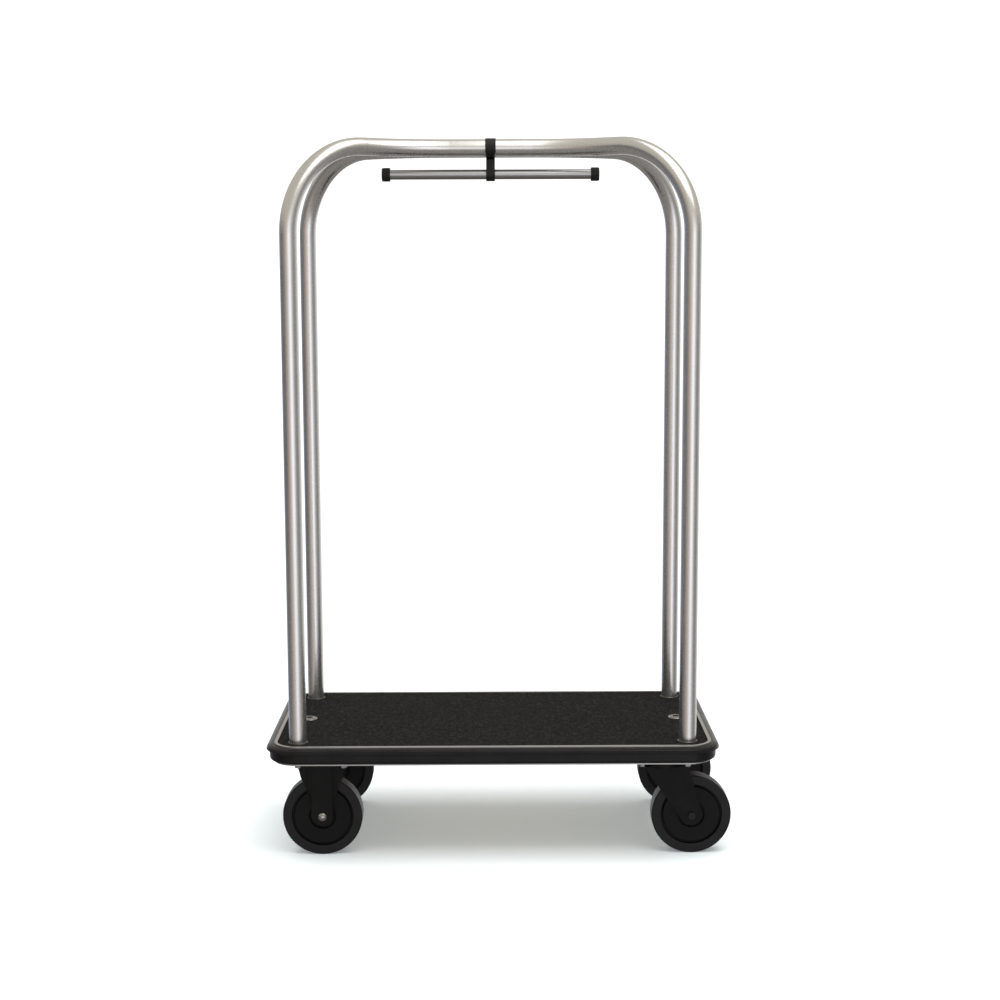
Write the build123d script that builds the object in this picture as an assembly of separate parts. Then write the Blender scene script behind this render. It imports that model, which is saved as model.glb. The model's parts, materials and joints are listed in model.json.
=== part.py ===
from build123d import *
import math
import os

# Hotel luggage cart. Millimetres, +Z up, floor at Z = 0, length along X, front at -Y.
# Shapes are drawn about the middle of the deck. Saving them moves them along X, so that
# the origin is the middle of the footprint with both swivel casters trailing to +X.

# ---------------------------------------------------------------- driving sizes
tube_diameter = 44.45
tube_wall = 1.5
leg_x = 495.0
leg_y = 229.0
hoop_height = 1791.5
hoop_bend_radius = 217.0
hoop_plan_angle = 37.2
hoop_knee_radius = 350.0
hoop_gap = 0.15

rail_diameter = 25.4
rail_wall = 1.5
rail_height = 1726.2
rail_cap_span = 557.0
rail_cap_diameter = 34.8
rail_cap_length = 21.5
rail_cap_wall = 2.6

channel_x = 555.5
channel_y = 283.5
channel_corner = 60.0
channel_top = 298.0
channel_bottom = 249.6
channel_flange = 8.0
channel_edge = 3.0
channel_web = 2.0
channel_screw_x = (-450.0, -225.0, 0.0, 225.0, 450.0)
channel_screw_y = (-120.0, 120.0)
bumper_reach = 20.5

carpet_top = 296.6
carpet_thickness = 3.0
board_thickness = 19.0
base_plate_thickness = 8.0
base_plate_inner_x = 357.0
deck_bolt_x = 490.0

wheel_radius = 101.6
wheel_width = 50.0
caster_x = 436.0
caster_y = 204.2
caster_trail = 71.0
caster_plate_x = 140.0
caster_plate_y = 110.0
caster_plate_thickness = 6.0
caster_bolt_span_x = 114.0
caster_bolt_span_y = 84.0
fork_inner = 28.5
axle_radius = 6.0

running_fit = 0.05
seat_gap = 0.1

# ---------------------------------------------------------------- sizes that follow
tube_radius = tube_diameter / 2
bar_y = tube_radius + hoop_gap / 2
board_top = carpet_top - carpet_thickness
board_bottom = board_top - board_thickness
base_top = channel_bottom + base_plate_thickness
plate_bottom = channel_bottom - caster_plate_thickness
leg_bottom = base_top + seat_gap
swivel_wheel_x = caster_x + caster_trail
footprint_high = swivel_wheel_x + wheel_radius
footprint_low = -(channel_x + bumper_reach)
deck_x = -(footprint_high + footprint_low) / 2

os.makedirs("parts", exist_ok=True)


def save(name, *solids):
    """Writes one node, moved into the cart's frame."""
    placed = [Pos(deck_x, 0, 0) * solid for solid in solids]
    shape = placed[0] if len(placed) == 1 else Compound(children=placed)
    export_step(shape, f"parts/{name}.step")


# ---------------------------------------------------------------- plain shapes
def post(radius, low, high, x=0.0, y=0.0):
    """An upright cylinder."""
    return Pos(x, y, (low + high) / 2) * Cylinder(radius, high - low)


def ring(outer, inner, low, high, x=0.0, y=0.0):
    """An upright tube."""
    return post(outer, low, high, x, y) - post(inner, low, high, x, y)


def cone(low_radius, high_radius, low, high, x=0.0, y=0.0):
    """An upright cone."""
    return Pos(x, y, (low + high) / 2) * Cone(low_radius, high_radius, high - low)


def hexagon(across_flats, low, high, x=0.0, y=0.0):
    """An upright hexagonal bar."""
    outline = RegularPolygon(across_flats / 2, 6, major_radius=False)
    return Pos(x, y, low) * extrude(outline, high - low)


def slab(x_span, y_span, z_span):
    """A box between three pairs of limits."""
    size = [span[1] - span[0] for span in (x_span, y_span, z_span)]
    middle = [(span[1] + span[0]) / 2 for span in (x_span, y_span, z_span)]
    return Pos(*middle) * Box(*size)


def along_y(shape, direction=1):
    """Turns an upright shape so that its +Z points along +Y or -Y."""
    return Rot(-90 * direction, 0, 0) * shape


def turned(points):
    """Revolves a closed outline of (radius, height) points about the Z axis."""
    outline = Polyline(*[(r, 0, z) for r, z in points], close=True)
    return revolve(make_face(outline), Axis.Z)


def deck_slab(offset, low, high):
    """A rounded rectangle at a distance outside the channel's outer edge."""
    corner = channel_corner + offset
    outline = RectangleRounded(2 * (channel_x + offset), 2 * (channel_y + offset), corner)
    return Pos(0, 0, low) * extrude(outline, high - low)


# ---------------------------------------------------------------- hoops
def hoop(side):
    """One bent tube: two legs, two upright bends and a top bar with two knees."""
    knee_x = leg_x - (leg_y - bar_y) / math.tan(math.radians(hoop_plan_angle))
    corners = [
        (-leg_x, side * leg_y, leg_bottom),
        (-leg_x, side * leg_y, hoop_height),
        (-knee_x, side * bar_y, hoop_height),
        (knee_x, side * bar_y, hoop_height),
        (leg_x, side * leg_y, hoop_height),
        (leg_x, side * leg_y, leg_bottom),
    ]
    radii = [hoop_bend_radius, hoop_knee_radius, hoop_knee_radius, hoop_bend_radius]
    route = FilletPolyline(*corners, radius=radii)
    start = Plane(origin=route @ 0, z_dir=route % 0)
    outside = sweep(start * Circle(tube_radius), path=route)
    inside = sweep(start * Circle(tube_radius - tube_wall), path=route)
    return outside - inside


def at_legs():
    return [(x, y) for x in (-leg_x, leg_x) for y in (-leg_y, leg_y)]


collar_radius = tube_radius + 2.8


def foot_collar(x, y):
    """A low trim ring with a sloping rim, on the board round a leg."""
    inner = tube_radius + seat_gap
    profile = [
        (inner, board_top),
        (collar_radius, board_top),
        (collar_radius, carpet_top + 0.3),
        (inner + 0.8, carpet_top + 2.0),
        (inner, carpet_top + 2.0),
    ]
    return Pos(x, y, 0) * turned(profile)


leg_bolt_radius = 5.0
leg_bolt_tip = base_top + 30.0
leg_plug_top = base_top + 36.0


def leg_bolt_blank(x, y):
    """The room that a leg bolt takes: a flush head below and a plain shank."""
    head = cone(9.5, leg_bolt_radius, channel_bottom, channel_bottom + 5.0)
    return Pos(x, y, 0) * (head + post(leg_bolt_radius, channel_bottom, leg_bolt_tip))


def leg_bolt(x, y):
    """A leg bolt with the hexagon socket in its head."""
    return leg_bolt_blank(x, y) - hexagon(6.0, channel_bottom - 1, channel_bottom + 3.5, x, y)


def leg_plug(x, y):
    """The tapped steel plug in a leg's lower end."""
    outer = tube_radius - tube_wall - seat_gap
    return ring(outer, leg_bolt_radius + seat_gap, leg_bottom, leg_plug_top, x, y)


# ---------------------------------------------------------------- deck
board_inset = -(channel_flange + 0.3)
hole_gap = 0.4
deck_bolt_radius = 5.0
deck_bolt_hole = deck_bolt_radius + 0.5
cup_radius = 21.0
carpet_gap = 0.2
deck_bolt_tip = channel_bottom - 13.0
frame_screw_radius = 2.5
frame_screw_tip = board_bottom + 12.0
rail_size = 25.0
rail_tube_wall = 2.0
rail_y = 180.0
rail_end_gap = 0.2
cross_member_x = (-180.0, 0.0, 180.0)
plate_limits = {-1: (-channel_x, -base_plate_inner_x), 1: (base_plate_inner_x, channel_x)}


def end_slice(end, low, high):
    """The part of the deck's outline over one pair of casters."""
    return deck_slab(board_inset, low, high) & slab(
        plate_limits[end], (-channel_y, channel_y), (low, high)
    )


def caster_bolt_places(x, y):
    half_x, half_y = caster_bolt_span_x / 2, caster_bolt_span_y / 2
    return [(x + i * half_x, y + j * half_y) for i in (-1, 1) for j in (-1, 1)]


def all_caster_bolts():
    centres = [(x, y) for x in (-caster_x, caster_x) for y in (-caster_y, caster_y)]
    return [place for centre in centres for place in caster_bolt_places(*centre)]


end_screw_places = [(e * x, y) for e in (-1, 1) for x in (375.0, 532.0) for y in (-110.0, 110.0)]
rail_screw_places = [(x, y) for x in (-120.0, 120.0) for y in (-rail_y, rail_y)]


def base_plate(end):
    """Steel end plate that carries two casters and two legs."""
    plate = end_slice(end, channel_bottom, base_top)
    for x, y in all_caster_bolts():
        plate -= post(caster_bolt_radius + running_fit, channel_bottom, base_top, x, y)
    for x, y in at_legs():
        plate -= leg_bolt_blank(x, y)
    for x, y in end_screw_places:
        plate -= frame_screw(x, y, channel_bottom)
    return plate - post(deck_bolt_hole, channel_bottom, base_top, end * deck_bolt_x, 0)


def packer(end):
    """Plywood packer that fills between the end plate and the deck board."""
    block = end_slice(end, base_top + seat_gap, board_bottom)
    for x, y in at_legs():
        block -= post(tube_radius + hole_gap, base_top, board_bottom, x, y)
    for x, y in end_screw_places:
        block -= frame_screw(x, y, channel_bottom)
    return block - post(deck_bolt_hole, base_top, board_bottom, end * deck_bolt_x, 0)


def deck_board():
    board = deck_slab(board_inset, board_bottom, board_top)
    for x, y in at_legs():
        board -= post(tube_radius + hole_gap, board_bottom, board_top, x, y)
    for end in (-1, 1):
        board -= post(deck_bolt_hole, board_bottom, board_top, end * deck_bolt_x, 0)
    for x, y in end_screw_places:
        board -= frame_screw(x, y, channel_bottom)
    for x, y in rail_screw_places:
        board -= frame_screw(x, y, channel_bottom)
    for screw in channel_screws():
        board -= screw
    return board


def deck_carpet():
    """Carpet that is cut round the leg collars and the two cup washers."""
    carpet = deck_slab(board_inset, board_top, carpet_top)
    for x, y in at_legs():
        carpet -= post(collar_radius + carpet_gap, board_top, carpet_top, x, y)
    for end in (-1, 1):
        carpet -= post(cup_radius + carpet_gap, board_top, carpet_top, end * deck_bolt_x, 0)
    return carpet


def deck_edge_channel():
    """C-shaped edge channel, open outwards, that holds the bumper."""
    body = deck_slab(0, channel_bottom, channel_top)
    body -= deck_slab(-channel_flange, channel_bottom, channel_top)
    mouth = deck_slab(1, channel_bottom + channel_edge, channel_top - channel_edge)
    web_face = channel_web - channel_flange
    mouth -= deck_slab(web_face, channel_bottom, channel_top)
    body -= mouth
    for screw in channel_screws():
        body -= screw
    return body


def channel_screws():
    """Screws from the channel's web into the edge of the deck board."""
    middle = (board_top + board_bottom) / 2
    reach = channel_web - channel_flange
    screws = []
    for side in (-1, 1):
        for x in channel_screw_x:
            place = Pos(x, side * (channel_y + reach), middle)
            screws.append(place * Rot(-90 * side, 0, 0) * edge_screw())
        for y in channel_screw_y:
            place = Pos(side * (channel_x + reach), y, middle)
            screws.append(place * Rot(0, 90 * side, 0) * edge_screw())
    return screws


def edge_screw():
    """Pan-head wood screw that points down from Z = 0, with its head above."""
    return cone(4.0, 3.2, 0, 2.0) + post(2.0, -26.0, 1.0) + cone(0.4, 2.0, -29.0, -26.0)


def frame_screw(x, y, low):
    """Countersunk wood screw that points up, flush at the bottom."""
    head = cone(4.8, frame_screw_radius, low, low + 3.0)
    shank = post(frame_screw_radius, low, frame_screw_tip)
    tip = cone(frame_screw_radius, 0.4, frame_screw_tip, frame_screw_tip + 4.0)
    return Pos(x, y, 0) * (head + shank + tip)


def square_tube(length):
    """Steel box section along X, about the origin."""
    inner = rail_size - 2 * rail_tube_wall
    outline = RectangleRounded(rail_size, rail_size, 2.5) - RectangleRounded(inner, inner, 0.8)
    return Rot(0, 90, 0) * Pos(0, 0, -length / 2) * extrude(outline, length)


def base_rail(side):
    rail = Pos(0, side * rail_y, board_bottom - rail_size / 2) * square_tube(
        2 * (base_plate_inner_x - rail_end_gap)
    )
    for x, y in rail_screw_places:
        rail -= frame_screw(x, y, channel_bottom)
    return rail


def cross_member(x):
    length = 2 * (rail_y - rail_end_gap) - rail_size
    return Pos(x, 0, board_bottom - rail_size / 2) * Rot(0, 0, 90) * square_tube(length)


def bumper():
    """Rubber edge guard: a nose with a sloping face over a set-back skirt, and a tongue."""
    top = channel_top - channel_edge
    bottom = channel_bottom + channel_edge
    back = -3.4
    brow = (16.4, top - 3.8)
    nose_high = (17.8, top - 4.9)
    nose_low = (20.4, top - 11.2)
    nose_tip = (bumper_reach, top - 12.1)
    nose_under = (19.6, top - 13.0)
    skirt_top = (12.4, top - 15.6)
    skirt_low = (12.0, bottom + 9.0)
    skirt_bulge = (9.8, bottom + 4.4)
    skirt_end = (4.6, bottom + 2.2)
    start = Plane(origin=(0, -channel_y, 0), x_dir=(0, -1, 0), z_dir=(-1, 0, 0))
    edges = [
        Line((back, bottom), (back, top)),
        Line((back, top), (0, top)),
        ThreePointArc((0, top), (9.0, top - 0.8), brow),
        Line(brow, nose_high),
        Line(nose_high, nose_low),
        ThreePointArc(nose_low, nose_tip, nose_under),
        Line(nose_under, skirt_top),
        Line(skirt_top, skirt_low),
        ThreePointArc(skirt_low, skirt_bulge, skirt_end),
        Line(skirt_end, (0, bottom)),
        Line((0, bottom), (back, bottom)),
    ]
    return around_deck(start * make_face(edges))


def around_deck(front_face):
    """Carries a section at the front edge round the deck's four sides and corners."""
    straight_x = channel_x - channel_corner
    straight_y = channel_y - channel_corner
    side = Pos(-straight_x, 0, 0) * extrude(front_face, amount=2 * straight_x, dir=(1, 0, 0))
    at_corner = Pos(0, straight_y, 0) * front_face
    turn = revolve(at_corner, Axis.Z, 90)
    end_face = Rot(0, 0, 90) * Pos(0, channel_y - channel_x, 0) * front_face
    end = Pos(0, -straight_y, 0) * extrude(end_face, amount=2 * straight_y, dir=(0, 1, 0))
    quarter = side + Pos(straight_x, -straight_y, 0) * turn
    quarter += end
    quarter += Pos(straight_x, straight_y, 0) * Rot(0, 0, 90) * turn
    return quarter + Rot(0, 0, 180) * quarter


def cup_washer(end):
    """Domed washer with a countersunk middle, on the board."""
    profile = [
        (deck_bolt_radius + 0.3, board_top),
        (cup_radius, board_top),
        (cup_radius, carpet_top + 0.6),
        (20.4, carpet_top + 1.4),
        (17.0, carpet_top + 3.6),
        (12.5, carpet_top + 4.6),
        (10.6, carpet_top + 4.2),
        (deck_bolt_radius + 0.3, carpet_top + 0.4),
    ]
    return Pos(end * deck_bolt_x, 0, 0) * turned(profile)


def deck_bolt(end):
    """Countersunk bolt down through the deck and the end plate."""
    head_low = carpet_top + 0.6
    head_high = head_low + 3.2
    head = cone(deck_bolt_radius, 9.2, head_low, head_high)
    socket = hexagon(6.0, head_high - 2.6, head_high + 1)
    return Pos(end * deck_bolt_x, 0, 0) * (
        head + post(deck_bolt_radius, deck_bolt_tip, head_high) - socket
    )


def nut(across_flats, radius, low, high, x=0.0, y=0.0):
    """Hexagon nut with its corners chamfered at both ends."""
    corner = across_flats / math.sqrt(3)
    chamfer_height = (corner - across_flats / 2) * 0.6
    limit = turned(
        [
            (0, low),
            (across_flats / 2, low),
            (corner, low + chamfer_height),
            (corner, high - chamfer_height),
            (across_flats / 2, high),
            (0, high),
        ]
    )
    body = hexagon(across_flats, low, high) & limit
    return Pos(x, y, 0) * (body - post(radius, low, high))


# ---------------------------------------------------------------- clamp, hanger and rail
band_thickness = 2.0
band_width = 26.6
band_lower_width = 22.4
band_step = -13.6
band_inner = tube_radius + seat_gap
band_outer = band_inner + band_thickness
strap_width = 22.4
strap_thickness = 4.6
strap_inner = rail_diameter / 2 + seat_gap
strap_outer = strap_inner + strap_thickness
strap_top = hoop_height - band_outer
hanger_bolt_radius = 4.0


def oval(radius, half_span, width):
    """A racetrack shape across the cart, with its flats above and below."""
    outline = SlotCenterToCenter(2 * half_span, 2 * radius)
    return Plane.YZ * Pos(0, 0, -width / 2) * extrude(outline, width)


def top_clamp_band():
    """Steel band round both top bars, narrower underneath than over the top."""
    loop = oval(band_outer, bar_y, band_width) - oval(band_inner, bar_y, band_width)
    side = (band_width - band_lower_width) / 2
    for end in (-1, 1):
        reach = end * (band_lower_width + side) / 2
        loop -= Pos(reach, 0, band_step - 20) * Box(side, 200, 40)
    hole = post(hanger_bolt_radius + 0.2, strap_top - 1, hoop_height)
    return Pos(0, 0, hoop_height) * loop - hole


def strap_outline(radius, top, corner):
    """A U round the rail, closed at the top, in the plane across the cart."""
    height = top - rail_height
    upper = Pos(0, height / 2) * Rectangle(2 * radius, height)
    upper = fillet(upper.vertices().group_by(Axis.Y)[-1], corner)
    return upper + Circle(radius)


def hanger_strap():
    outer = strap_outline(strap_outer, strap_top, 5.0)
    inner = strap_outline(strap_inner, strap_top - strap_thickness, 2.0)
    loop = Plane.YZ * Pos(0, rail_height, -strap_width / 2) * extrude(outer - inner, strap_width)
    loop -= post(hanger_bolt_radius + 0.2, strap_top - strap_thickness - 1, strap_top + 1)
    loop -= post(3.8, rail_height - strap_outer - 1, rail_height - strap_outer + 0.45)
    return loop - rail_screw()


def hanger_bolt():
    floor = hoop_height - band_inner
    head = hexagon(13.0, floor, floor + 4.6)
    return head + post(hanger_bolt_radius, strap_top - 12.5, floor + 1)


def hanger_nut():
    high = strap_top - strap_thickness
    return nut(13.0, hanger_bolt_radius, high - 6.5, high)


def rail_screw():
    """Countersunk screw up through the strap's lowest point into the rail."""
    low = rail_height - strap_outer
    return cone(3.8, 2.0, low + 0.45, low + 2.25) + post(2.0, low + 2.0, low + 10.0)


def hanging_rail():
    length = rail_cap_span - 2 * (rail_cap_wall + 0.4)
    tube = along_x(ring(rail_diameter / 2, rail_diameter / 2 - rail_wall, -length / 2, length / 2))
    return Pos(0, 0, rail_height) * tube - rail_screw()


def along_x(shape):
    """Turns an upright shape so that its +Z points along +X."""
    return Rot(0, 90, 0) * shape


def rail_cap(end):
    """Ribbed plastic cap that sleeves the rail's end."""
    ridge_count = 40
    ridge = 0.55
    core = rail_cap_diameter / 2 - ridge
    body = post(core, 0, rail_cap_length)
    body = round_top(body, 2.2)
    ridge_low, ridge_high = 1.2, rail_cap_length - 3.8
    rib = post(ridge, ridge_low, ridge_high, core)
    body = body + [Rot(0, 0, 360 * i / ridge_count) * rib for i in range(ridge_count)]
    body -= post(rail_diameter / 2 + seat_gap, 0, rail_cap_length - rail_cap_wall)
    start = rail_cap_span / 2 - rail_cap_length
    return Pos(end * start, 0, rail_height) * Rot(0, 90 * end, 0) * body


def round_top(shape, radius):
    """Rounds the edge of a shape's highest face."""
    return fillet(shape.edges().group_by(Axis.Z)[-1], radius)


# ---------------------------------------------------------------- casters
caster_bolt_radius = 5.0
caster_washer = 2.2
panel_rise = 3.0
fork_thickness = 4.0
fork_outer = fork_inner + fork_thickness
fork_face = fork_outer + panel_rise
sleeve_radius = 10.0 - running_fit
hub_outer = 75.5
rim_depth = 13.0
crown_top = 229.8
crown_bottom = 223.8
ball_count = 18
ball_pitch = 34.0
ball_radius = 5.0
ball_height = 233.3
race_radius = 43.5
skirt_inner = 41.0
kingpin_radius = 8.0
kingpin_head = 13.0


def caster_plate():
    """Top plate with four bolt holes."""
    outline = RectangleRounded(caster_plate_x, caster_plate_y, 10)
    plate = Pos(0, 0, plate_bottom) * extrude(outline, caster_plate_thickness)
    for hole_x, hole_y in caster_bolt_places(0, 0):
        plate -= post(caster_bolt_radius + 0.5, plate_bottom, channel_bottom, hole_x, hole_y)
    return plate


def side_plate(outline, inner, outer):
    """An outline in X and Z, as a plate on both sides of the wheel."""
    front = Plane.XZ * Pos(0, 0, inner) * extrude(outline, outer - inner)
    back = mirror(front, Plane.XZ)
    return front + back


def mirrored(points):
    """The mirror image across X = 0 of points that run anticlockwise, in that order too."""
    return [(-x, z) for x, z in reversed(points)]


def axle_hole(x):
    return Pos(x, 0, wheel_radius) * along_y(post(axle_radius + 0.1, -60, 60))


def rigid_fork():
    """Top plate and two straight legs: wide flanks, deep grooves and a raised middle panel."""
    top = plate_bottom + 1
    waist = 28.0
    panel_half = 26.0
    foot_centre = 108.0
    right = [(waist, foot_centre), (waist, 132.0), (41.0, 179.0), (53.5, 206.0), (57.0, 222.0), (64.0, top)]
    blade = Polygon(*right, *mirrored(right), align=None)
    foot = Pos(0, foot_centre) * Circle(waist)
    flank = side_plate(blade + foot, fork_inner, fork_outer + 0.3)
    panel_outline = Pos(0, (top + foot_centre) / 2) * Rectangle(2 * panel_half, top - foot_centre)
    panel = side_plate(panel_outline + Pos(0, foot_centre) * Circle(waist - 1), fork_inner, fork_face)
    edge = [(panel_half, 135.0), (38.2, 178.0), (38.2, 237.0), (panel_half, 237.0)]
    openings = Polygon(*edge, align=None) + Polygon(*mirrored(edge), align=None)
    grooves = side_plate(openings, fork_inner + 1.0, fork_outer + 1.0)
    gusset = slab((-50, 50), (-fork_inner, fork_inner), (plate_bottom - 3, plate_bottom))
    return caster_plate() + gusset + (flank - grooves) + panel - axle_hole(0)


def ball_groove(radius):
    return Pos(0, 0, ball_height) * Torus(ball_pitch, radius)


def swivel_top_plate():
    """Top plate with the upper ball race and a dust skirt pressed into it."""
    race = ring(race_radius, kingpin_radius, ball_height + 3.3, plate_bottom + 0.5)
    skirt = ring(race_radius, skirt_inner, crown_top + 0.8, plate_bottom)
    plate = caster_plate() + race + skirt - ball_groove(ball_radius + 0.3)
    return plate - kingpin()


def kingpin():
    """Flush-headed pin that hangs the fork from the top plate."""
    head = cone(kingpin_radius, kingpin_head, plate_bottom + 1.0, channel_bottom)
    return head + post(kingpin_radius, 211.0, channel_bottom)


def kingpin_nut():
    return nut(24.0, kingpin_radius, 213.0, 221.2) + ring(14.5, kingpin_radius, 221.2, 223.4)


def swivel_fork():
    """Raked fork: a crown with the lower ball race and two legs to the axle."""
    crown_back, crown_front = -51.0, 66.0
    foot_radius = 27.0
    crown_outline = RectangleRounded(crown_front - crown_back, 2 * fork_outer, 14)
    middle = (crown_front + crown_back) / 2
    crown = Pos(middle, 0, crown_bottom) * extrude(crown_outline, crown_top - crown_bottom)
    crown += post(skirt_inner - 0.2, crown_bottom, crown_top)
    legs = side_plate(fork_blade(crown_back + 4, crown_front - 4, foot_radius), fork_inner, fork_outer)
    rib = side_plate(fork_blade(-8.0, 34.0, foot_radius - 8), fork_inner, fork_face)
    fork = crown + legs + rib
    fork -= post(kingpin_radius + running_fit, crown_bottom - 5, crown_top + 5)
    return fork - ball_groove(ball_radius + 0.1) - axle_hole(caster_trail)


def fork_blade(back, front, foot_radius):
    """A leg's outline: a straight top edge drawn down to a round foot at the axle."""
    foot = Pos(caster_trail, wheel_radius) * Circle(foot_radius)
    top = Pos((back + front) / 2, crown_top - 3) * Rectangle(front - back, 4.0)
    return make_hull((foot + top).edges())


def balls():
    ball = Pos(ball_pitch, 0, ball_height) * Sphere(ball_radius)
    return [Rot(0, 0, 360 * i / ball_count) * ball for i in range(ball_count)]


def dome(radius, height):
    """A low round cap under Z = 0, cut from a large ball."""
    ball = (radius**2 + height**2) / (2 * height)
    return (Pos(0, 0, ball - height) * Sphere(ball)) & post(radius + 1, -height - 1, 0)


def axle_bolt(domed):
    """Axle through both fork legs, with its head at -Y."""
    shank = post(axle_radius, -fork_face - 0.5, fork_face + 12.0)
    head = dome(10.5, 4.6) if domed else bolt_head(19.0, 5.8)
    return along_y(Pos(0, 0, -fork_face) * head + shank)


def bolt_head(across_flats, height):
    """A solid hexagon head under Z = 0."""
    return nut(across_flats, 1.0, -height, 0) + post(1.5, -height, 0)


def axle_nut():
    return along_y(nut(19.0, axle_radius, fork_face, fork_face + 9.0))


def axle_sleeve():
    """Spacer tube between the fork legs, on which the wheel's bearing runs."""
    return along_y(ring(sleeve_radius, axle_radius + 0.05, -fork_inner, fork_inner))


def bearing():
    return along_y(ring(14.0, sleeve_radius + running_fit, -26.0, 26.0))


def wheel_hub():
    """Plastic wheel centre: a boss in a round recess, a flat face and a stepped rim."""
    half = [
        (14.0, 26.0),
        (27.5, 26.0),
        (28.6, 25.0),
        (29.0, 16.5),
        (33.0, 16.5),
        (33.6, 22.2),
        (34.6, 23.0),
        (70.8, 23.4),
        (72.0, 22.8),
        (72.5, 21.6),
        (72.5, rim_depth),
        (hub_outer, rim_depth),
    ]
    return along_y(turned(half + [(r, -z) for r, z in reversed(half)]))


def tyre():
    """Rubber tread ring with rounded shoulders and a flat side wall."""
    half_width = wheel_width / 2
    shoulder = 4.0
    lip = 78.0
    section = Polyline(
        (hub_outer, 0, -rim_depth),
        (lip - 0.6, 0, -rim_depth),
        (lip, 0, -half_width + 1.5),
        (lip + 1.5, 0, -half_width),
        (wheel_radius, 0, -half_width),
        (wheel_radius, 0, half_width),
        (lip + 1.5, 0, half_width),
        (lip, 0, half_width - 1.5),
        (lip - 0.6, 0, rim_depth),
        (hub_outer, 0, rim_depth),
        close=True,
    )
    body = revolve(make_face(section), Axis.Z)
    rims = body.edges().filter_by(GeomType.CIRCLE).sort_by(lambda edge: edge.radius)[-2:]
    return along_y(fillet(rims, shoulder))


def caster_bolt(x, y):
    """Hexagon bolt up into the end plate."""
    seat = plate_bottom - caster_washer
    shank = post(caster_bolt_radius, seat - 1, base_top - 0.2)
    return Pos(x, y, 0) * (Pos(0, 0, seat) * bolt_head(17.0, 6.4) + shank)


# ---------------------------------------------------------------- the nodes
save("front_hoop", hoop(-1))
save("rear_hoop", hoop(1))
save("foot_collars", *[foot_collar(x, y) for x, y in at_legs()])
save("leg_plugs", *[leg_plug(x, y) for x, y in at_legs()])
save("leg_bolts", *[leg_bolt(x, y) for x, y in at_legs()])

save("deck_carpet", deck_carpet())
save("deck_board", deck_board())
save("deck_packers", packer(-1), packer(1))
save("deck_edge_channel", deck_edge_channel())
save("channel_screws", *channel_screws())
save("bumper", bumper())
save("base_plate_rigid_end", base_plate(-1))
save("base_plate_swivel_end", base_plate(1))
save("base_rails", base_rail(-1), base_rail(1))
save("base_cross_members", *[cross_member(x) for x in cross_member_x])
end_screws = [frame_screw(x, y, channel_bottom) for x, y in end_screw_places]
rail_screws = [frame_screw(x, y, channel_bottom) for x, y in rail_screw_places]
save("frame_screws", *end_screws, *rail_screws)
save("deck_cup_washers", cup_washer(-1), cup_washer(1))
save("deck_bolts", deck_bolt(-1), deck_bolt(1))
deck_nut_places = [(end * deck_bolt_x, 0.0) for end in (-1, 1)]
washer_low = channel_bottom - 2.0
save("deck_bolt_washers", *[ring(11, 5.3, washer_low, channel_bottom, x, y) for x, y in deck_nut_places])
save(
    "deck_bolt_nuts",
    *[nut(17, deck_bolt_radius, washer_low - 8.4, washer_low, x, y) for x, y in deck_nut_places],
)

save("top_clamp_band", top_clamp_band())
save("hanger_strap", hanger_strap())
save("hanger_bolt", hanger_bolt())
save("hanger_nut", hanger_nut())
save("hanging_rail", hanging_rail())
save("rail_screw", rail_screw())
save("rail_caps", rail_cap(-1), rail_cap(1))

save("caster_bolts", *[caster_bolt(x, y) for x, y in all_caster_bolts()])
save(
    "caster_bolt_washers",
    *[ring(9.0, 5.2, plate_bottom - caster_washer, plate_bottom, x, y) for x, y in all_caster_bolts()],
)

turn_outward = {"front": 0, "rear": 180}
front_and_rear = {"front": -caster_y, "rear": caster_y}


def at_axle(x, name):
    """An axle's place, with its bolt head on the side away from the cart's middle."""
    return Pos(x, front_and_rear[name], wheel_radius) * Rot(0, 0, turn_outward[name])


rigid_spots = [at_axle(-caster_x, name) for name in front_and_rear]
save("rigid_axle_bolts", *[spot * axle_bolt(True) for spot in rigid_spots])
save("rigid_axle_nuts", *[spot * axle_nut() for spot in rigid_spots])
save("rigid_axle_sleeves", *[spot * axle_sleeve() for spot in rigid_spots])
for name, y in front_and_rear.items():
    spot = at_axle(-caster_x, name)
    save(f"rigid_fork_{name}", Pos(-caster_x, y, 0) * rigid_fork())
    save(f"rigid_hub_{name}", spot * wheel_hub())
    save(f"rigid_tyre_{name}", spot * tyre())
    save(f"rigid_bearing_{name}", spot * bearing())

save("kingpins", *[Pos(caster_x, y, 0) * kingpin() for y in front_and_rear.values()])
save("kingpin_nuts", *[Pos(caster_x, y, 0) * kingpin_nut() for y in front_and_rear.values()])
for name, y in front_and_rear.items():
    pivot = Pos(caster_x, y, 0)
    spot = at_axle(swivel_wheel_x, name)
    save(f"swivel_top_plate_{name}", pivot * swivel_top_plate())
    save(f"swivel_balls_{name}", *[pivot * ball for ball in balls()])
    save(f"swivel_fork_{name}", pivot * swivel_fork())
    save(f"swivel_axle_bolt_{name}", spot * axle_bolt(False))
    save(f"swivel_axle_nut_{name}", spot * axle_nut())
    save(f"swivel_axle_sleeve_{name}", spot * axle_sleeve())
    save(f"swivel_hub_{name}", spot * wheel_hub())
    save(f"swivel_tyre_{name}", spot * tyre())
    save(f"swivel_bearing_{name}", spot * bearing())
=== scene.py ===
import json
import math

import bmesh
import bpy
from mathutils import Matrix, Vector, noise


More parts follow.
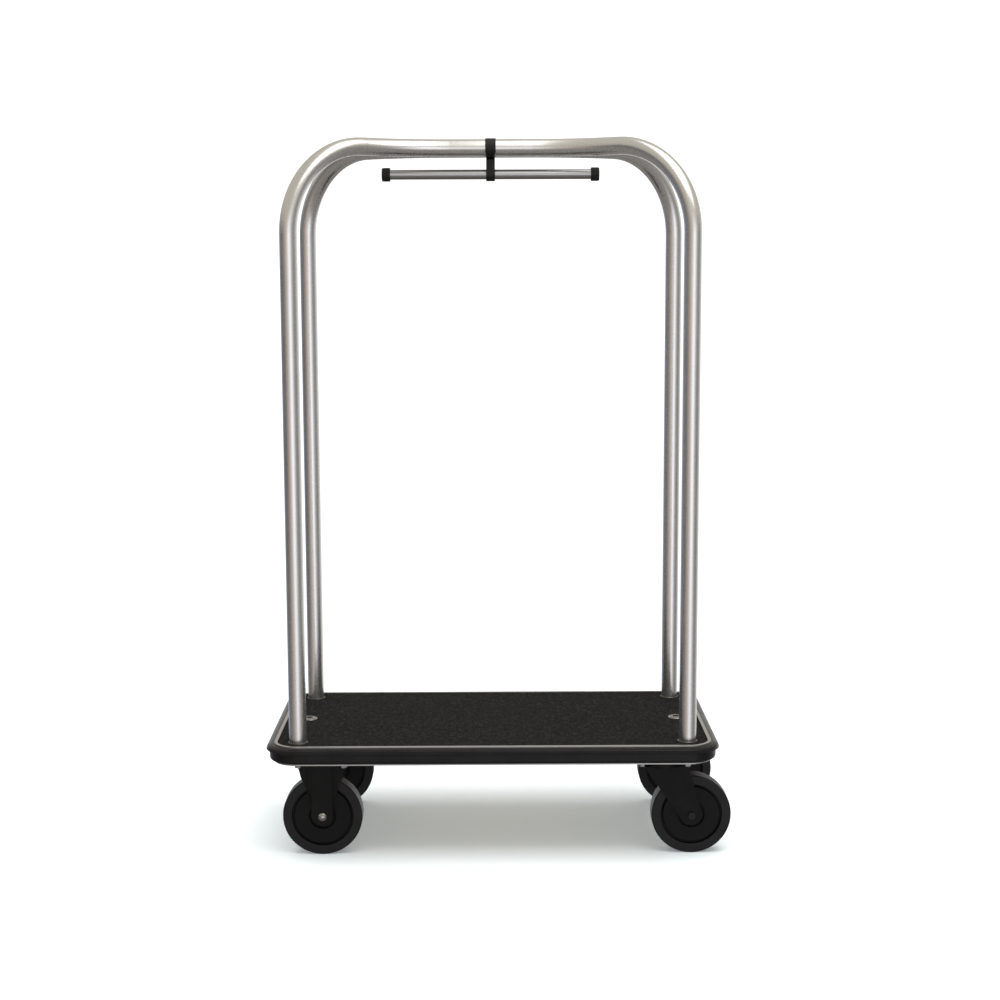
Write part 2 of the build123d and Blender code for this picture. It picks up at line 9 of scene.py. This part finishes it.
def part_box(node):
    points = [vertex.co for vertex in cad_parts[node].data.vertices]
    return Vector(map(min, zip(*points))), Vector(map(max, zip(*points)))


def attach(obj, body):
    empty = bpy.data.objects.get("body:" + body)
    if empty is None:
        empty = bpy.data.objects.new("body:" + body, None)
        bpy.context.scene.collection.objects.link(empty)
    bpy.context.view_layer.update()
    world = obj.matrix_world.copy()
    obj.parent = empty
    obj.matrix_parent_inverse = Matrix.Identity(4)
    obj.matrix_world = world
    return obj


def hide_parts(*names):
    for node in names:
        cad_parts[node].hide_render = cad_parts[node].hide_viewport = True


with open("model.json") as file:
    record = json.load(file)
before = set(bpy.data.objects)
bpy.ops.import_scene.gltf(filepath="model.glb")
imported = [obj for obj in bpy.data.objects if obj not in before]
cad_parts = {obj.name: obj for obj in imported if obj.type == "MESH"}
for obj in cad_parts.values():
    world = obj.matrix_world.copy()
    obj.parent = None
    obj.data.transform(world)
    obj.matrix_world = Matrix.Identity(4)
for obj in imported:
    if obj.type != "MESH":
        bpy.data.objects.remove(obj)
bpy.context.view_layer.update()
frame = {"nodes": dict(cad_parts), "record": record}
nodes = frame["nodes"]
scene = bpy.context.scene
collection = scene.collection

FLOOR_RADIUS = 2.0
SURROUND_RADIUS = 25.0
BEND_LOW, BEND_HIGH = 1.58, 1.76
RIB_PITCH = 0.0042
KNOT_PITCH = 0.0036
CARPET_GRID = 0.0045
NAP_DEPTH, NAP_RATE = 0.00022, 160.0
WAVE_DEPTH, WAVE_RATE = 0.00018, 22.0
NAP_LEVEL = -0.0002


# ---------------------------------------------------------------- camera and studio
def make_camera():
    """Looks at the cart's long side from a standing adult's eye height."""
    data = bpy.data.cameras.new("camera")
    data.sensor_width = 36.0
    data.lens = 62.2
    data.clip_end = 60.0
    camera = bpy.data.objects.new("camera", data)
    camera.location = (-0.0125, -4.5, 1.495)
    pitch_down, roll, turn = 7.73, 0.2, -0.25
    camera.rotation_euler = [math.radians(a) for a in (90.0 - pitch_down, roll, turn)]
    collection.objects.link(camera)
    scene.camera = camera


def softbox(name, place, target, size, radiance, colour, in_reflections=True):
    """A rectangular light of an even brightness, aimed at a point."""
    data = bpy.data.lights.new(name, "AREA")
    data.shape = "RECTANGLE"
    data.size, data.size_y = size
    data.energy = radiance * math.pi * size[0] * size[1]
    data.color = colour
    light = bpy.data.objects.new(name, data)
    light.location = place
    light.rotation_euler = (Vector(target) - Vector(place)).to_track_quat("-Z", "Y").to_euler()
    light.visible_camera = False
    light.visible_glossy = in_reflections
    collection.objects.link(light)


def make_floor():
    """A pale floor that glows faintly, and a white surround that only the camera sees."""
    floor = disc("floor", FLOOR_RADIUS)
    floor.data.materials.append(floor_material())
    floor.visible_glossy = False
    surround = bpy.data.meshes.new("surround")
    mesh = bmesh.new()
    bmesh.ops.create_uvsphere(mesh, u_segments=32, v_segments=16, radius=SURROUND_RADIUS)
    mesh.to_mesh(surround)
    mesh.free()
    dome = bpy.data.objects.new("surround", surround)
    collection.objects.link(dome)
    material, graph = new_material("surround_white")
    glow = graph.node("ShaderNodeEmission", Strength=1.3)
    graph.finish(glow)
    surround.materials.append(material)
    for kind in ("diffuse", "glossy", "transmission", "volume_scatter", "shadow"):
        setattr(dome, f"visible_{kind}", False)


def disc(name, radius):
    mesh = bpy.data.meshes.new(name)
    shape = bmesh.new()
    bmesh.ops.create_circle(shape, cap_ends=True, segments=96, radius=radius)
    shape.to_mesh(mesh)
    shape.free()
    thing = bpy.data.objects.new(name, mesh)
    collection.objects.link(thing)
    return thing


def make_world():
    """A soft studio round the cart: bright ahead on the right and behind, darker at the sides."""
    world = bpy.data.worlds.new("studio")
    world.use_nodes = True
    scene.world = world
    graph = Graph(world.node_tree)
    direction = graph.node("ShaderNodeTexCoord").outputs["Generated"]
    split = graph.node("ShaderNodeSeparateXYZ", Vector=direction)
    ahead = graph.math("MULTIPLY", split.outputs["Y"], -1.0)
    turn = graph.math("ARCTAN2", split.outputs["X"], ahead)
    belt_place = graph.math("MULTIPLY_ADD", turn, 0.5 / math.pi, 0.5)
    belt = graph.ramp(
        belt_place,
        [
            (-180, (1.3, 1.3, 1.32)),
            (-165, (1.25, 1.28, 1.35)),
            (-145, (0.52, 0.57, 0.7)),
            (-125, (0.26, 0.29, 0.38)),
            (-103, (0.145, 0.15, 0.17)),
            (-80, (0.145, 0.14, 0.14)),
            (-60, (0.21, 0.195, 0.185)),
            (-44, (0.46, 0.36, 0.31)),
            (-22, (0.70, 0.61, 0.57)),
            (-6, (1.0, 0.97, 0.97)),
            (6, (1.6, 1.6, 1.64)),
            (20, (1.7, 1.7, 1.76)),
            (34, (1.0, 1.0, 1.02)),
            (50, (0.46, 0.45, 0.44)),
            (68, (0.27, 0.26, 0.25)),
            (84, (0.25, 0.245, 0.24)),
            (100, (0.5, 0.5, 0.49)),
            (125, (0.95, 0.95, 0.95)),
            (150, (1.15, 1.15, 1.16)),
            (180, (1.3, 1.3, 1.32)),
        ],
        lambda angle: angle / 360 + 0.5,
    )
    low = graph.smooth(split.outputs["Z"], -0.42, -0.22)
    high = graph.smooth(split.outputs["Z"], 0.02, 0.3)
    lower_part = graph.mix(low, (0.27, 0.25, 0.235, 1), belt)
    whole = graph.mix(high, lower_part, (0.62, 0.58, 0.5, 1))
    background = graph.node("ShaderNodeBackground", Color=whole, Strength=1.0)
    graph.finish(background, "ShaderNodeOutputWorld")


# ---------------------------------------------------------------- node graphs
class Graph:
    """Short names for making shader nodes."""

    def __init__(self, tree):
        self.tree = tree
        tree.nodes.clear()

    def feed(self, socket, value):
        if isinstance(value, bpy.types.NodeSocket):
            self.tree.links.new(value, socket)
        elif value is not None:
            socket.default_value = value

    def node(self, kind, inputs=None, settings=None, **named):
        made = self.tree.nodes.new(kind)
        for key, value in (settings or {}).items():
            setattr(made, key, value)
        for key, value in (inputs or {}).items():
            self.feed(made.inputs[key], value)
        for key, value in named.items():
            self.feed(made.inputs[key.replace("_", " ")], value)
        return made

    def finish(self, shader, kind="ShaderNodeOutputMaterial"):
        output = self.tree.nodes.new(kind)
        self.tree.links.new(shader.outputs[0], output.inputs["Surface"])

    def principled(self, **sockets):
        named = {key.replace("_", " "): value for key, value in sockets.items()}
        self.finish(self.node("ShaderNodeBsdfPrincipled", named))

    def math(self, operation, *values):
        inputs = dict(enumerate(values))
        return self.node("ShaderNodeMath", inputs, {"operation": operation}).outputs[0]

    def total(self, *values):
        result = values[0]
        for value in values[1:]:
            result = self.math("ADD", result, value)
        return result

    def span(self, value, start, end, low=0.0, high=1.0, smooth=False):
        inputs = {"Value": value, "From Min": start, "From Max": end, "To Min": low, "To Max": high}
        settings = {"interpolation_type": "SMOOTHSTEP"} if smooth else {}
        return self.node("ShaderNodeMapRange", inputs, settings).outputs["Result"]

    def smooth(self, value, start, end):
        return self.span(value, start, end, smooth=True)

    def ramp(self, factor, stops, place=lambda x: x, interpolation="EASE"):
        made = self.node("ShaderNodeValToRGB", {"Fac": factor})
        elements = made.color_ramp.elements
        made.color_ramp.interpolation = interpolation
        while len(elements) < len(stops):
            elements.new(1.0)
        for element, (where, colour) in zip(elements, stops):
            element.position = place(where)
            element.color = (*colour, 1.0)
        return made.outputs["Color"]

    def mix(self, factor, a, b, blend="MIX"):
        settings = {"data_type": "RGBA", "blend_type": blend}
        return self.node("ShaderNodeMix", {0: factor, 6: a, 7: b}, settings).outputs[2]

    def blend(self, factor, a, b):
        return self.node("ShaderNodeMix", {0: factor, 2: a, 3: b}).outputs[0]

    def noise(self, vector, scale, detail=3.0, rough=0.5):
        inputs = {"Vector": vector, "Scale": scale, "Detail": detail, "Roughness": rough}
        return self.node("ShaderNodeTexNoise", inputs).outputs["Fac"]

    def place(self, scale=(1, 1, 1), rotation=(0, 0, 0)):
        inputs = {"Vector": self.here(), "Scale": scale, "Rotation": rotation}
        return self.node("ShaderNodeMapping", inputs).outputs["Vector"]

    def here(self):
        return self.node("ShaderNodeTexCoord").outputs["Object"]

    def bump(self, height, strength, distance, normal=None):
        inputs = {"Height": height, "Strength": strength, "Distance": distance, "Normal": normal}
        return self.node("ShaderNodeBump", inputs).outputs["Normal"]


def new_material(name):
    material = bpy.data.materials.new(name)
    material.use_nodes = True
    return material, Graph(material.node_tree)


def scaled(colour, factor):
    return (*[min(c * factor, 1.0) for c in colour], 1.0)


# ---------------------------------------------------------------- materials
def floor_material():
    material, graph = new_material("floor_paper")
    tooth = graph.noise(graph.place(), 40.0)
    graph.principled(
        Base_Color=(0.91, 0.955, 0.985, 1),
        Roughness=graph.span(tooth, 0, 1, 0.85, 0.95),
        Specular_IOR_Level=0.0,
        Emission_Color=(0.78, 0.92, 1.0, 1),
        Emission_Strength=0.2,
    )
    return material


def satin_steel(name, colour, roughness=0.27, along="Z", grain=1100.0, metal=1.0):
    """Satin stainless steel with a fine grain along one axis."""
    material, graph = new_material(name)
    stretch = {"X": (0.015, 1, 1), "Y": (1, 0.015, 1), "Z": (1, 1, 0.015)}
    if along == "hoop":
        height = graph.node("ShaderNodeSeparateXYZ", Vector=graph.here()).outputs["Z"]
        up = graph.noise(graph.place(stretch["Z"]), grain, 2.0)
        across = graph.noise(graph.place(stretch["X"]), grain, 2.0)
        fibre = graph.blend(graph.smooth(height, BEND_LOW, BEND_HIGH), up, across)
    else:
        fibre = graph.noise(graph.place(stretch[along]), grain, 2.0)
    cloud = graph.noise(graph.place(), 9.0, 4.0)
    tone = graph.total(
        graph.span(fibre, 0.25, 0.75, 0.0, 0.6),
        graph.span(cloud, 0.3, 0.7, 0.0, 0.4),
    )
    sheen = graph.total(
        graph.span(fibre, 0.2, 0.8, roughness - 0.03, roughness + 0.03),
        graph.span(cloud, 0.3, 0.7, -0.015, 0.015),
    )
    graph.principled(
        Base_Color=graph.mix(tone, scaled(colour, 0.95), scaled(colour, 1.05)),
        Metallic=metal,
        Roughness=sheen,
        Normal=graph.bump(fibre, 0.05, 0.0001),
    )
    return material


def painted(name, colour, roughness, pebble_depth=0.25, pebble_size=700.0, wear=1.7, shine=0.35):
    """Powder coat, moulded plastic or rubber: a fine pebble, and faint cloudy handling marks."""
    material, graph = new_material(name)
    pebble = graph.noise(graph.place(), pebble_size, 3.0)
    cloud = graph.noise(graph.place(), 14.0, 5.0, 0.6)
    graph.principled(
        Base_Color=graph.mix(graph.smooth(cloud, 0.42, 0.75), (*colour, 1), scaled(colour, wear)),
        Roughness=graph.total(
            graph.span(cloud, 0.3, 0.7, roughness - 0.04, roughness + 0.05),
            graph.span(pebble, 0.3, 0.7, -0.03, 0.03),
        ),
        Specular_IOR_Level=shine,
        Normal=graph.bump(pebble, pebble_depth, 0.0003),
    )
    return material


def plywood(name):
    material, graph = new_material(name)
    grain = graph.noise(graph.place((1.0, 9.0, 9.0)), 18.0, 6.0, 0.6)
    tones = [(0.3, (0.36, 0.235, 0.13)), (0.55, (0.5, 0.36, 0.22)), (0.75, (0.6, 0.46, 0.3))]
    graph.principled(
        Base_Color=graph.ramp(grain, tones),
        Roughness=graph.span(grain, 0.3, 0.7, 0.55, 0.7),
        Normal=graph.bump(grain, 0.2, 0.0004),
    )
    return material


def carpet_material():
    """Charcoal ribbed carpet: rows of fine yarn across the deck, mottled dark and light."""
    material, graph = new_material("carpet")
    here = graph.here()
    split = graph.node("ShaderNodeSeparateXYZ", Vector=here)
    rib = graph.math("SINE", graph.math("MULTIPLY", split.outputs["X"], 2 * math.pi / RIB_PITCH))
    knot = graph.math("SINE", graph.math("MULTIPLY", split.outputs["Y"], 2 * math.pi / KNOT_PITCH))
    yarn = graph.noise(graph.place((1.0, 0.3, 1.0)), 300.0, 4.0, 0.65)
    patch = graph.noise(graph.place((1.0, 0.5, 1.0)), 95.0, 4.0, 0.6)
    fuzz = graph.noise(here, 1600.0, 3.0, 0.7)
    weave = graph.math("MULTIPLY_ADD", graph.math("MULTIPLY", rib, knot), 0.12, 0.5)
    tone = graph.total(
        graph.span(yarn, 0.3, 0.7, -0.36, 0.36), graph.span(patch, 0.35, 0.65, -0.18, 0.18), weave
    )
    height = graph.total(
        graph.math("MULTIPLY", rib, 0.25),
        graph.math("MULTIPLY", knot, 0.15),
        yarn,
        graph.math("MULTIPLY", fuzz, 0.5),
    )
    tones = [
        (0.1, (0.0015, 0.0015, 0.0015)),
        (0.5, (0.0072, 0.0072, 0.0074)),
        (0.95, (0.026, 0.0255, 0.026)),
    ]
    graph.principled(
        Base_Color=graph.ramp(tone, tones),
        Roughness=graph.span(fuzz, 0.3, 0.7, 0.9, 1.0),
        Specular_IOR_Level=0.05,
        Sheen_Weight=0.02,
        Sheen_Roughness=0.6,
        Sheen_Tint=(0.8, 0.8, 0.82, 1),
        Normal=graph.bump(height, 0.7, 0.0008),
    )
    return material


def assign_materials():
    slot_of = {part["node"]: part["material_slot"] for part in frame["record"]["subparts"]}
    made = {
        "hoop_steel": satin_steel("steel_hoops", (0.66, 0.655, 0.645), along="hoop", metal=0.95),
        "trim_steel": satin_steel("steel_trim", (0.43, 0.425, 0.42), 0.34, "X"),
        "dome_chrome": satin_steel("steel_polished", (0.36, 0.36, 0.365), 0.18, "Z", 300.0),
        "zinc_steel": satin_steel("steel_zinc", (0.66, 0.69, 0.72), 0.26, "Z", 260.0),
        "black_hardware": painted("black_hardware", (0.0055, 0.0053, 0.0055), 0.45, shine=0.25),
        "rail_cap_plastic": painted("cap_plastic", (0.005, 0.005, 0.005), 0.5),
        "deck_carpet": carpet_material(),
        "deck_plywood": plywood("plywood"),
        "bumper_rubber": painted(
            "bumper_rubber", (0.0045, 0.0045, 0.0052), 0.3, pebble_depth=0.3, pebble_size=500.0, shine=0.22
        ),
        "base_steel": painted("base_powder_coat", (0.014, 0.014, 0.015), 0.5),
        "caster_steel": painted("caster_powder_coat", (0.0035, 0.0035, 0.0035), 0.44, shine=0.14),
        "wheel_hub_plastic": painted("wheel_hub_plastic", (0.003, 0.0029, 0.003), 0.42, shine=0.14),
        "tyre_rubber": painted("tyre_rubber", (0.0062, 0.0058, 0.0068), 0.45, shine=0.24),
        "bearing_steel": satin_steel("steel_bearing", (0.6, 0.6, 0.61), 0.2, "Z", 300.0),
    }
    rail = satin_steel("steel_rail", (0.44, 0.44, 0.45), 0.34, along="X")
    # painted shade: the foot collars get a near-black steel that stands for the shade ringing the foot of
    # each leg
    foot_shade_steel = satin_steel("steel_painted_foot_shade", (0.13, 0.125, 0.12), 0.38)
    shaded_zinc = satin_steel("steel_zinc_shaded", (0.22, 0.225, 0.235), 0.3, "Z", 260.0)
    special = {"hanging_rail": rail, "foot_collars": foot_shade_steel, "caster_bolts": shaded_zinc}
    for name, thing in nodes.items():
        thing.data.materials.clear()
        thing.data.materials.append(special.get(name, made[slot_of[name]]))
    return made


# ---------------------------------------------------------------- carpet
def carpet_sheet(material):
    """The carpet as a sheet with a fine uneven nap, cut round the collars and cups."""
    node = nodes["deck_carpet"]
    low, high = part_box("deck_carpet")
    shape = bmesh.new()
    shape.from_mesh(node.data)
    for axis in (0, 1):
        count = int((high[axis] - low[axis]) / CARPET_GRID)
        direction = Vector((1, 0, 0)) if axis == 0 else Vector((0, 1, 0))
        for i in range(1, count + 1):
            spot = [0.0, 0.0, 0.0]
            spot[axis] = low[axis] + (high[axis] - low[axis]) * i / (count + 1)
            everything = shape.verts[:] + shape.edges[:] + shape.faces[:]
            bmesh.ops.bisect_plane(
                shape, geom=everything, plane_co=spot, plane_no=direction, dist=1e-6
            )
    for vertex in shape.verts:
        if vertex.co.z > high[2] - 1e-5:
            place = vertex.co
            nap = noise.noise(Vector((place.x * NAP_RATE, place.y * NAP_RATE, 3.0)))
            wave = noise.noise(Vector((place.x * WAVE_RATE, place.y * WAVE_RATE, 7.0)))
            vertex.co.z += NAP_DEPTH * nap + WAVE_DEPTH * wave + NAP_LEVEL
    mesh = bpy.data.meshes.new("carpet")
    shape.to_mesh(mesh)
    shape.free()
    mesh.materials.append(material)
    mesh.shade_smooth()
    mesh.set_sharp_from_angle(angle=math.radians(40))
    sheet = bpy.data.objects.new("carpet", mesh)
    collection.objects.link(sheet)
    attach(sheet, "root")
    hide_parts("deck_carpet")


make_camera()
make_world()
make_floor()
softbox("front_softbox", (1.0, -0.85, 3.36), (1.0, -0.08, 1.98), (2.2, 2.6), 1.6, (1.0, 1.0, 0.985))
softbox(
    "overhead_fill", (0.0, 0.0, 4.5), (0.0, 0.0, 0.0), (6.0, 5.0), 2.3, (0.96, 0.98, 1.0),
    in_reflections=False,
)
finishes = assign_materials()
carpet_sheet(finishes["deck_carpet"])
scene.view_settings.view_transform = "Standard"
